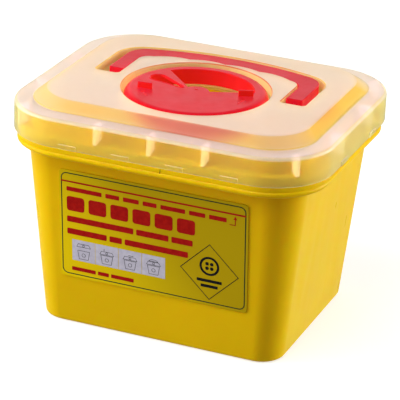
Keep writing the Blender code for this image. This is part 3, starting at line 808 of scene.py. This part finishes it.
def use_pictures(plane):
    """Four pale panels, each with a plain line drawing of a bucket and a lid."""
    low, high = -28.4 * MM, -11.8 * MM
    left, width, gap = -61.9 * MM, 17.6 * MM, 0.35 * MM
    line = 0.32 * MM
    panels, lines = [], []
    for k in range(4):
        u0 = left + k * (width + gap)
        panels.append(flat_solid(plane, rectangle(u0, u0 + width, low, high)))
        mid = u0 + width / 2
        shape = [(mid - 3.6 * MM, low + 1.6 * MM), (mid + 3.6 * MM, low + 1.6 * MM),
                 (mid + 4.8 * MM, low + 8.6 * MM), (mid - 4.8 * MM, low + 8.6 * MM)]
        lines.append(flat_ring(plane, shape, line, OVERPRINTED))
        lid_rise = 2.6 * MM if k == 0 else 0.35 * MM
        lid_low = low + 8.6 * MM + lid_rise
        lid = [(mid - 5.6 * MM, lid_low), (mid + 5.6 * MM, lid_low),
               (mid + 4.2 * MM, lid_low + 2.7 * MM), (mid - 4.2 * MM, lid_low + 2.7 * MM)]
        lines.append(flat_ring(plane, lid, line, OVERPRINTED))
        hole = ring_points(mid, lid_low + 1.35 * MM, 0.95 * MM, 20)
        lines.append(flat_ring(plane, hole, line, OVERPRINTED))
        mark = ring_points(mid, low + 5.0 * MM, 1.5 * MM, 24)
        lines.append(flat_ring(plane, mark, line, OVERPRINTED))
        if k == 1:
            drop = rectangle(mid - 2.2 * MM, mid - 1.8 * MM, lid_low + 3.1 * MM, lid_low + 4.7 * MM)
            lines.append(flat_solid(plane, drop, OVERPRINTED))
        if k == 2:
            dash = rectangle(mid - 1.2 * MM, mid + 2.6 * MM, lid_low + 3.4 * MM, lid_low + 3.8 * MM)
            lines.append(flat_solid(plane, dash, OVERPRINTED))
        if k == 3:
            bail = [(mid + 3.6 * MM * math.cos(a), lid_low + 2.9 * MM + 1.7 * MM * math.sin(a))
                    for a in quarter(12, 0.0, 180.0)]
            lines.append(flat_ring(plane, bail, line, OVERPRINTED))
    return panels, lines


def diamond_sign(plane):
    """A thin diamond with a plain ringed drop and two short bars."""
    cu, cv, reach = 42.9 * MM, -15.6 * MM, 22.0 * MM
    outline = [(cu + reach, cv), (cu, cv + reach), (cu - reach, cv), (cu, cv - reach)]
    symbol_v = cv + 4.6 * MM
    parts = [flat_ring(plane, outline, 0.55 * MM),
             flat_ring(plane, ring_points(cu, symbol_v, 7.4 * MM), 1.7 * MM)]
    for a in quarter(3, 45.0, 315.0):
        dot = (cu + 2.5 * MM * math.cos(a), symbol_v + 2.5 * MM * math.sin(a))
        parts.append(flat_solid(plane, ring_points(*dot, 1.35 * MM, 24)))
    for half, low, high in ((9.4, -8.2, -5.9), (6.4, -12.4, -10.1)):
        bar = round_box(cu - half * MM, cu + half * MM, cv + low * MM, cv + high * MM, 0.4 * MM, 4)
        parts.append(flat_solid(plane, bar))
    return parts


def make_gate_nick(material):
    """Small sprue nick on the apron, under the skirt at the front, drawn as a dark sheet of painted
    shade.
    """
    y = -APRON_HALF[1]
    x, z0, z1 = 8.5 * MM, 136.6 * MM, 141.0 * MM
    outline = [(-0.28 * MM, 0.0), (0.28 * MM, 0.0), (0.40 * MM, z1 - z0), (-0.05 * MM, z1 - z0)]
    rings = [[(x + u, y + 0.30 * MM - out, z0 + v) for u, v in outline] for out in (0.0, 0.45 * MM)]
    nick = loft("apron_gate_nick", rings)
    finish_mesh(nick)
    place(nick, material, "tub")


# ---------- handle outlines
def bail_side(spec, y_end, end_round):
    """One edge of a bail on the +X side, from the arm end to the start of the long arc."""
    arm, r, big, top = spec
    yc = top - big
    yf = yc + math.sqrt((big - r) ** 2 - (arm - r) ** 2)
    points = [(arm - end_round * (1 - math.sin(a)), y_end + abs(end_round) * (1 - math.cos(a)))
              for a in quarter(6)]
    a_end = math.degrees(math.atan2(yf - yc, arm - r))
    points += arc(r, quarter(16, 0.0, a_end), (arm - r, yf))
    return points, math.radians(a_end), yc, big


def bail_edge(spec, y_end, end_round, scalloped=False):
    """Open outline from the +X arm end round to the -X arm end."""
    side, a_end, yc, big = bail_side(spec, y_end, end_round)
    points = list(side)
    if scalloped:
        marks = [(x, yc + math.sqrt(big * big - x * x)) for x in sorted(CUSP_X, reverse=True)]
        for (x0, y0), (x1, y1) in zip(marks, marks[1:]):
            for k in range(12):
                t = k / 12
                bow = 4 * SCALLOP_DEPTH * t * (1 - t)
                points.append((x0 + (x1 - x0) * t, y0 + (y1 - y0) * t + bow))
        points.append(marks[-1])
    else:
        for k in range(1, 32):
            a = a_end + (math.pi - 2 * a_end) * k / 32
            points.append((big * math.cos(a), yc + big * math.sin(a)))
    points += [(-x, y) for x, y in reversed(side)]
    clean = [points[0]]
    for p in points[1:]:
        if math.dist(p, clean[-1]) > 0.15 * MM:
            clean.append(p)
    return clean


def bail_outline(outer, inner, y_end, end_round=HANDLE_END_ROUND):
    inner_edge = bail_edge(inner, y_end, -end_round, scalloped=True)
    return bail_edge(outer, y_end, end_round) + list(reversed(inner_edge))


def grow(spec, amount):
    return spec[0] + amount, spec[1] + amount, spec[2] + amount, spec[3] + amount


def arc_y(spec, x):
    return spec[3] - spec[2] + math.sqrt(spec[2] ** 2 - x * x)


# ---------- lid
def plateau_rows(inset):
    """Slope and rounded shoulder of the plateau; inset moves the surface inwards."""
    foot_z = LEDGE_Z + SLOPE_FILLET
    lean = math.atan2(PLATEAU_BASE[1] - PLATEAU_TOP[1], PLATEAU_Z - PLATEAU_ROUND * 0.35 - foot_z)
    rows = []
    for a in quarter(14, math.degrees(lean), 90.0):
        inwards = PLATEAU_ROUND * (math.cos(lean) - math.cos(a))
        drop = PLATEAU_ROUND * (1 - math.sin(a))
        rows.append((*shrink(PLATEAU_TOP, inwards - 0.4 * MM + inset), PLATEAU_Z - drop - inset))
    return rows


def lid_outside():
    edge = 0.5 * MM
    rows = [(*shrink(LID_HALF, edge * (1 - math.sin(a))), SKIRT_BOTTOM_Z + edge * (1 - math.cos(a)))
            for a in quarter(4)]
    for a in quarter(12):
        rows.append((*shrink(LID_HALF, LEDGE_ROUND * (1 - math.cos(a))),
                     LEDGE_Z - LEDGE_ROUND * (1 - math.sin(a))))
    for a in quarter(6, 90.0, 20.0):
        rows.append((*shrink(PLATEAU_BASE, -SLOPE_FILLET * (1 - math.cos(a))),
                     LEDGE_Z + SLOPE_FILLET * (1 - math.sin(a))))
    return rows + plateau_rows(0.0)


def lid_inside():
    rows = [(*shrink(LID_HALF, LID_WALL), SKIRT_BOTTOM_Z - 2 * MM)]
    inner_round = LEDGE_ROUND - LID_WALL + 0.6 * MM
    for a in quarter(6):
        rows.append((*shrink(LID_HALF, LID_WALL + inner_round * (1 - math.cos(a))),
                     LEDGE_Z - LID_WALL - inner_round * (1 - math.sin(a))))
    rows.append((*shrink(PLATEAU_BASE, LID_WALL), LEDGE_Z - LID_WALL))
    return rows + plateau_rows(LID_WALL)


def gusset(turn, reach, along, depth=RIB_DEPTH):
    """Web between skirt and neck; turn is the outward direction in degrees."""
    top = LEDGE_Z - LID_WALL - RIB_AIR
    corners = [(reach, RIB_BOTTOM_Z - 1.0 * MM), (reach - depth, RIB_BOTTOM_Z + 0.8 * MM),
               (reach - depth, top), (reach, top)]
    rings = [[(u, v, z) for u, z in corners] for v in (-RIB_THICK / 2, RIB_THICK / 2)]
    web = loft("web", rings)
    turn_z = Matrix.Rotation(math.radians(turn), 4, "Z")
    web.data.transform(Matrix.Translation(Vector((along[0], along[1], 0.0))) @ turn_z)
    return web


def lid_webs():
    bite = LID_WALL + RIB_AIR
    webs = []
    for turn in (-90.0, 90.0):
        webs += [gusset(turn, LID_HALF[1] - bite, (x, 0.0)) for x in RIB_X]
    for turn in (0.0, 180.0):
        webs += [gusset(turn, LID_HALF[0] - bite, (0.0, y)) for y in RIB_Y]
    for sx in (-1, 1):
        for sy in (-1, 1):
            corner = (sx * (LID_HALF[0] - LID_HALF[2]), sy * (LID_HALF[1] - LID_HALF[2]))
            webs.append(gusset(math.degrees(math.atan2(sy, sx)), LID_HALF[2] - bite, corner,
                               CORNER_RIB_DEPTH))
    return webs


def make_webs(material):
    webs = merged("lid_webs", lid_webs())
    finish_mesh(webs)
    place(webs, material, "lid")


def pad(low, high):
    """A snap pad with its outer edges eased."""
    ease = 0.25 * MM
    rings = []
    for inset, z in ((ease, low[2]), (0.0, low[2] + ease), (0.0, high[2] - ease), (ease, high[2])):
        x0, x1, y0, y1 = low[0] + inset, high[0] - inset, low[1] + inset, high[1] - inset
        rings.append([(x0, y0, z), (x1, y0, z), (x1, y1, z), (x0, y1, z)])
    return loft("pad", rings)


def lid_pads():
    width, proud, height = LUG_SIZE
    bite = LID_WALL * 0.5
    z0, z1 = SKIRT_BOTTOM_Z + 0.2 * MM, SKIRT_BOTTOM_Z + height
    pads = []
    for side in (-1, 1):
        y0, y1 = sorted((side * (LID_HALF[1] - bite), side * (LID_HALF[1] + proud)))
        pads += [pad((x - width / 2, y0, z0), (x + width / 2, y1, z1)) for x in LUG_X]
        x0, x1 = sorted((side * (LID_HALF[0] - bite), side * (LID_HALF[0] + proud)))
        pads += [pad((x0, y - width / 2, z0), (x1, y + width / 2, z1)) for y in LUG_Y]
    return pads


def aperture_outline():
    """Rear part of the well floor, less the round boss kept at the axis."""
    edge = APERTURE_EDGE_Y
    start = math.degrees(math.asin(edge / APERTURE_R))
    points = arc(APERTURE_R, quarter(64, start, 180.0 - start), (AXIS_X, AXIS_Y))
    start = math.degrees(math.asin(edge / BOSS_R))
    return points + arc(BOSS_R, quarter(24, 180.0 - start, start), (AXIS_X, AXIS_Y))


def make_lid(material):
    lid = rect_loft("lid_shell", lid_outside())
    skin = PLATEAU_Z - LID_WALL / 2
    under = LEDGE_Z - LID_WALL / 2
    cut(lid, rect_loft("inside", lid_inside()))
    well = turned("well", [(WELL_R_BOTTOM + WELL_SHELL, WELL_FLOOR_Z - WELL_FLOOR_THICK),
                           (WELL_R_BOTTOM + WELL_SHELL, skin)])
    recess = pillar("recess", bail_outline(grow(RECESS_OUT, RECESS_SHELL),
                                           grow(RECESS_IN, -RECESS_SHELL),
                                           RECESS_END_Y - RECESS_SHELL, RECESS_END_ROUND),
                    [(0.0, RECESS_FLOOR_Z - RECESS_SHELL), (0.0, skin)])
    seal = rect_loft("seal", [(*SEAL_HALF, under), (*SEAL_HALF, SEAL_BOTTOM_Z + 1.0 * MM),
                              (*shrink(SEAL_HALF, 0.6 * MM), SEAL_BOTTOM_Z),
                              (*shrink(SEAL_HALF, SEAL_WALL), SEAL_BOTTOM_Z),
                              (*shrink(SEAL_HALF, SEAL_WALL), under)], close=True)
    union(lid, well, recess, seal, merged("pads", lid_pads()))
    side = [(WELL_R_BOTTOM - WELL_FLOOR_ROUND * (1 - math.sin(a)),
             WELL_FLOOR_Z + WELL_FLOOR_ROUND * (1 - math.cos(a))) for a in quarter(4)]
    side += [(WELL_R_TOP + WELL_LIP * (1 - math.cos(a)), PLATEAU_Z - WELL_LIP + WELL_LIP * math.sin(a))
             for a in quarter(8)]
    side.append((WELL_R_TOP + WELL_LIP, PLATEAU_Z + 4 * MM))
    cut(lid, turned("well_cut", side))
    recess_outline = bail_outline(RECESS_OUT, RECESS_IN, RECESS_END_Y, RECESS_END_ROUND)
    cut(lid, pillar("recess_cut", recess_outline, flared(RECESS_FLOOR_Z, PLATEAU_Z, 0.8 * MM, 0.8 * MM)))
    floor_low, floor_high = WELL_FLOOR_Z - 4 * MM, WELL_FLOOR_Z + 3 * MM
    holes = [pillar("aperture", aperture_outline(), [(0.0, floor_low), (0.0, floor_high)]),
             pillar("pin_hole", circle(PIN_HOLE_R, 48), [(0.0, floor_low), (0.0, floor_high)])]
    for side_x in (-1, 1):
        x0, x1 = sorted((side_x * (RECESS_IN[0] - RECESS_SHELL - 0.8 * MM),
                         side_x * (RECESS_IN[0] + 1.0 * MM)))
        holes.append(cylinder_x("pivot_hole", x0, x1, PIVOT_Y, PIVOT_Z, PIVOT_HOLE_R))
    cut(lid, *holes)
    finish_mesh(lid)
    place(lid, material, "lid", "lid")
    # the thin milky wall passes most light, so it throws no shadow into the tub
    lid.visible_shadow = False


# ---------- turntable
def line_circle(line, centre, radius):
    """Far crossing of a directed line with a circle."""
    x, y, degrees = line
    dx, dy = math.cos(math.radians(degrees)), math.sin(math.radians(degrees))
    fx, fy = x - centre[0], y - centre[1]
    b = fx * dx + fy * dy
    t = -b + math.sqrt(b * b - fx * fx - fy * fy + radius * radius)
    return x + t * dx, y + t * dy


def opening_outline():
    """Sector-shaped drop opening between the hub bump and the rim."""
    bx, by, br = HUB_BUMP
    first, last = line_circle(RIGHT_EDGE, (bx, by), br), line_circle(LEFT_EDGE, (bx, by), br)
    rim_first = line_circle(RIGHT_EDGE, (0.0, 0.0), OPENING_R)
    rim_last = line_circle(LEFT_EDGE, (0.0, 0.0), OPENING_R)
    a0, a1 = (math.degrees(math.atan2(y, x)) for x, y in (rim_first, rim_last))
    b0, b1 = (math.degrees(math.atan2(y - by, x - bx)) for x, y in (last, first))
    return arc(OPENING_R, quarter(56, a0, a1)) + arc(br, quarter(20, b0, b1), (bx, by))


def slot_outline():
    """Teardrop needle slot: hull of a wide and a narrow circle."""
    (x0, y0, r0), (x1, y1, r1) = SLOT_WIDE, SLOT_NARROW
    axis = math.degrees(math.atan2(y1 - y0, x1 - x0))
    touch = math.degrees(math.acos((r0 - r1) / math.hypot(x1 - x0, y1 - y0)))
    wide = arc(r0, quarter(28, axis + touch, axis + 360.0 - touch), (x0, y0))
    return wide + arc(r1, quarter(8, axis - touch, axis + touch), (x1, y1))


def on_turntable(points):
    c, s = math.cos(ROTOR_ANGLE), math.sin(ROTOR_ANGLE)
    return [(AXIS_X + c * x - s * y, AXIS_Y + s * x + c * y) for x, y in points]


def tab_outline(side):
    length, thick, _ = TAB_SIZE
    c, s = math.cos(side * TAB_TOE), math.sin(side * TAB_TOE)
    return [(side * TAB_POS[0] + c * u - s * v, TAB_POS[1] + s * u + c * v)
            for u, v in rounded_rect(length / 2, thick / 2, 0.35 * MM, 4)]


def strip(start, end, width):
    """A straight strip between two points."""
    along = (Vector(end) - Vector(start)).normalized()
    across = Vector((-along.y, along.x)) * (width / 2)
    start, end = Vector(start), Vector(end)
    return [tuple(start - across), tuple(end - across), tuple(end + across), tuple(start + across)]


def turn_arrow(side):
    """A short curved arrow beside a tab, along the rim."""
    radius, half_width, half_head = 38.0 * MM, 0.45 * MM, 1.5 * MM
    first, last = (-33.0, -21.0) if side > 0 else (201.0, 213.0)
    outer = arc(radius + half_width, quarter(8, first, last))
    inner = arc(radius - half_width, quarter(8, last, first))
    tip = math.radians(last + 4.5 if side > 0 else first - 4.5)
    base = math.radians(last if side > 0 else first)
    head = arc(radius + half_head, [base]) + arc(radius, [tip]) + arc(radius - half_head, [base])
    return outer + inner, head


def make_turntable(material):
    top, wall = ROTOR_TOP_Z, ROTOR_WALL
    reach, fall = ROTOR_EDGE
    side = [(ROTOR_R - 0.5 * MM, ROTOR_SKIRT_Z), (ROTOR_R, ROTOR_SKIRT_Z + 0.5 * MM)]
    side += [(ROTOR_R - reach + reach * math.cos(a), top - fall + fall * math.sin(a))
             for a in quarter(20)]
    table = turned("turntable_moulding", side)
    hollow = [(ROTOR_R - wall, ROTOR_SKIRT_Z - 2 * MM)]
    hollow += [(ROTOR_R - reach + (reach - wall) * math.cos(a), top - fall + (fall - wall) * math.sin(a))
               for a in quarter(14)]
    cut(table, turned("hollow", hollow))
    under = top - wall / 2
    lead = 0.4 * MM
    collar = turned("collar", [(COLLAR_R[0], under), (COLLAR_R[1], under),
                               (COLLAR_R[1], COLLAR_BOTTOM_Z + lead),
                               (COLLAR_R[1] - lead, COLLAR_BOTTOM_Z),
                               (COLLAR_R[0] + lead, COLLAR_BOTTOM_Z),
                               (COLLAR_R[0], COLLAR_BOTTOM_Z + lead)], close=True)
    seat = WELL_FLOOR_Z + HUB_GAP
    hub = turned("hub", [(HUB_R, under), (HUB_R, seat), (PIN_R, seat), (PIN_R, PIN_HEAD_Z[1]),
                         (PIN_HEAD_R, PIN_HEAD_Z[1]), (PIN_R * 0.7, PIN_HEAD_Z[0])], 64)
    tabs = [pillar("tab", on_turntable(tab_outline(s)), domed(under, top + TAB_SIZE[2], 0.45 * MM))
            for s in (-1, 1)]
    union(table, collar, hub, *tabs)

    relief = 0.30 * MM
    rim = pillar("slot_rim", on_turntable(offset(slot_outline(), 0.9 * MM)),
                 domed(under, top + relief, 0.28 * MM))
    raised = [rim]
    for s in (-1, 1):
        for outline in turn_arrow(s):
            raised.append(pillar("arrow", on_turntable(outline), domed(under, top + relief, 0.2 * MM)))
    raised.append(turned("gate_dot", [(1.3 * MM, under), (1.3 * MM, top + 0.1 * MM),
                                      (0.9 * MM, top + 0.3 * MM), (0.3 * MM, top + 0.35 * MM)], 32))
    union(table, *raised)

    below = top - wall - 0.6 * MM
    opening = pillar("opening", on_turntable(opening_outline()), flared(below, top, 0.45 * MM))
    slot = pillar("slot", on_turntable(slot_outline()), flared(below, top + relief, 0.4 * MM))
    groove = pillar("groove", on_turntable(strip((-34.6 * MM, 22.4 * MM), (-25.2 * MM, 13.0 * MM),
                                                 0.45 * MM)),
                    [(0.0, top - 0.5 * MM), (0.0, top + 2 * MM)])
    cut(table, opening, slot, groove)
    finish_mesh(table)
    place(table, material, "turntable", "turntable")
    # its thin red wall also lets light into the well
    table.visible_shadow = False


# ---------- handle
def make_handle(material):
    bottom = HANDLE_TOP_Z - HANDLE_THICK
    bail = pillar("handle_bail", bail_outline(HANDLE_OUT, HANDLE_IN, HANDLE_END_Y),
                  domed(bottom, HANDLE_TOP_Z, 0.7 * MM, 0.4 * MM))
    skin = HANDLE_SKIN
    hollow = pillar("hollow", bail_outline(grow(HANDLE_OUT, -skin), grow(HANDLE_IN, skin),
                                           PIVOT_Y + 6 * MM),
                    [(0.0, bottom - 2 * MM), (0.0, HANDLE_TOP_Z - skin - 0.5 * MM),
                     (-0.5 * MM, HANDLE_TOP_Z - skin)])
    cut(bail, hollow)
    webs = []
    for x in WEB_X:
        y0 = arc_y(HANDLE_IN, x) + SCALLOP_DEPTH / 2 + skin / 2
        y1 = arc_y(HANDLE_OUT, x) - skin / 2
        outline = [(x - 0.8 * MM, y0), (x + 0.8 * MM, y0), (x + 0.8 * MM, y1), (x - 0.8 * MM, y1)]
        webs.append(pillar("web", outline, [(0.0, bottom + 1.0 * MM), (0.0, HANDLE_TOP_Z - skin / 2)]))
    pins = []
    for side in (-1, 1):
        x0, x1 = sorted((side * PIVOT_PIN_X[0], side * PIVOT_PIN_X[1]))
        pins.append(cylinder_x("pin", x0, x1, PIVOT_Y, PIVOT_Z, PIVOT_PIN_R, 0.3 * MM))
    union(bail, merged("webs", webs), merged("pins", pins))
    finish_mesh(bail)
    place(bail, material, "handle", "handle")


# ---------- floor, lights, camera
def make_floor():
    size = 6.0
    outline = rectangle(-size, size, -size, size)
    floor = loft("floor", [[(x, y, z) for x, y in outline] for z in (-10.4 * MM, -0.4 * MM)])
    mat, _, shader = plastic("pale_floor", (0.60, 0.60, 0.60), 0.9)
    shader.inputs["Specular IOR Level"].default_value = 0.0
    glowing(shader, (1.0, 1.0, 1.0), 0.60)
    floor.data.materials.append(mat)
    # the pale floor stays out of the object's reflections, as on a masked studio table
    floor.visible_diffuse = False
    floor.visible_glossy = False


# name, place, width, height and radiance of each soft light
SOFTBOXES = (
    ("overhead_softbox", (0.0, 0.1, 1.15), 1.4, 1.1, 0.25),
    ("key_softbox", (-0.25, -0.55, 1.05), 0.9, 0.7, 3.9),
    ("back_softbox", (-0.55, 1.6, 0.75), 2.2, 1.2, 1.1),
    ("left_softbox", (-1.20, -0.55, 0.30), 0.7, 0.9, 9.3),
    ("right_softbox", (1.20, 0.65, 0.32), 0.9, 0.9, 8.5),
)
LIGHTS_AIM = Vector((0.0, 0.0, 0.09))


def softbox(name, place_at, width, height, radiance):
    """Rectangular soft light; its power follows from the radiance of its face."""
    light = bpy.data.lights.new(name, "AREA")
    light.shape = "RECTANGLE"
    light.size = width
    light.size_y = height
    light.energy = radiance * math.pi * width * height
    lamp = linked(name, light)
    lamp.location = place_at
    lamp.rotation_euler = (LIGHTS_AIM - Vector(place_at)).to_track_quat("-Z", "Y").to_euler()


def make_lights():
    """Soft lights, and a world that is paler below, as light bounced off the table."""
    for row in SOFTBOXES:
        softbox(*row)
    world = bpy.data.worlds.new("studio")
    world.use_nodes = True
    tree = world.node_tree
    background = tree.nodes["Background"]
    background.inputs["Color"].default_value = (1.0, 1.0, 1.0, 1.0)
    height = z_of(tree, coordinates(tree, "Generated"))
    bounce = spread(tree, height, -0.1, 0.1, 0.50, 0.12, "LINEAR")
    tree.links.new(bounce, background.inputs["Strength"])
    bpy.context.scene.world = world
    bpy.context.scene.view_settings.view_transform = "Standard"


def make_camera():
    """Long lens, a little to the right of the front and above, with a slight roll."""
    azimuth, elevation, roll = math.radians(21.601), math.radians(23.124), math.radians(2.4205)
    distance, target = 1.6973, Vector((1.2 * MM, 0.0, 80.9 * MM))
    back = Vector((math.sin(azimuth) * math.cos(elevation),
                   -math.cos(azimuth) * math.cos(elevation), math.sin(elevation)))
    right = Vector((math.cos(azimuth), math.sin(azimuth), 0.0))
    up = back.cross(right)
    turned_right = right * math.cos(roll) + up * math.sin(roll)
    turned_up = up * math.cos(roll) - right * math.sin(roll)
    data = bpy.data.cameras.new("camera")
    data.sensor_width = 36.0
    data.lens = 210.9
    camera = linked("camera", data)
    rotation = Matrix((turned_right, turned_up, back)).transposed().to_4x4()
    camera.matrix_world = Matrix.Translation(target + back * distance) @ rotation
    bpy.context.scene.camera = camera


# ---------- main
make_camera()
make_lights()
make_floor()

make_tub(yellow_plastic())
label_plane = make_label(label_film())
make_print(label_plane,
           printed_ink("dark_green_ink", (0.003, 0.022, 0.012), (0.008, 0.036, 0.020)),
           printed_ink("red_ink", (0.33, 0.004, 0.003), (0.42, 0.008, 0.004)),
           printed_ink("black_ink", (0.006, 0.006, 0.006), (0.014, 0.013, 0.012)),
           printed_ink("panel_white_ink", (0.50, 0.47, 0.56), (0.58, 0.55, 0.64)))
# the nick's dark ink colour is painted shade
make_gate_nick(printed_ink("nick_shadow", (0.05, 0.02, 0.0), (0.09, 0.04, 0.0), 0.5))
make_lid(milky_plastic())
make_webs(hazy_plastic())
make_turntable(red_plastic("red_turntable_plastic", (0.66, 0.002, 0.012), (0.74, 0.004, 0.020), 0.36,
                           painted_glow=0.14))
make_handle(red_plastic("red_handle_plastic", (0.62, 0.002, 0.015), (0.70, 0.004, 0.024), 0.38))
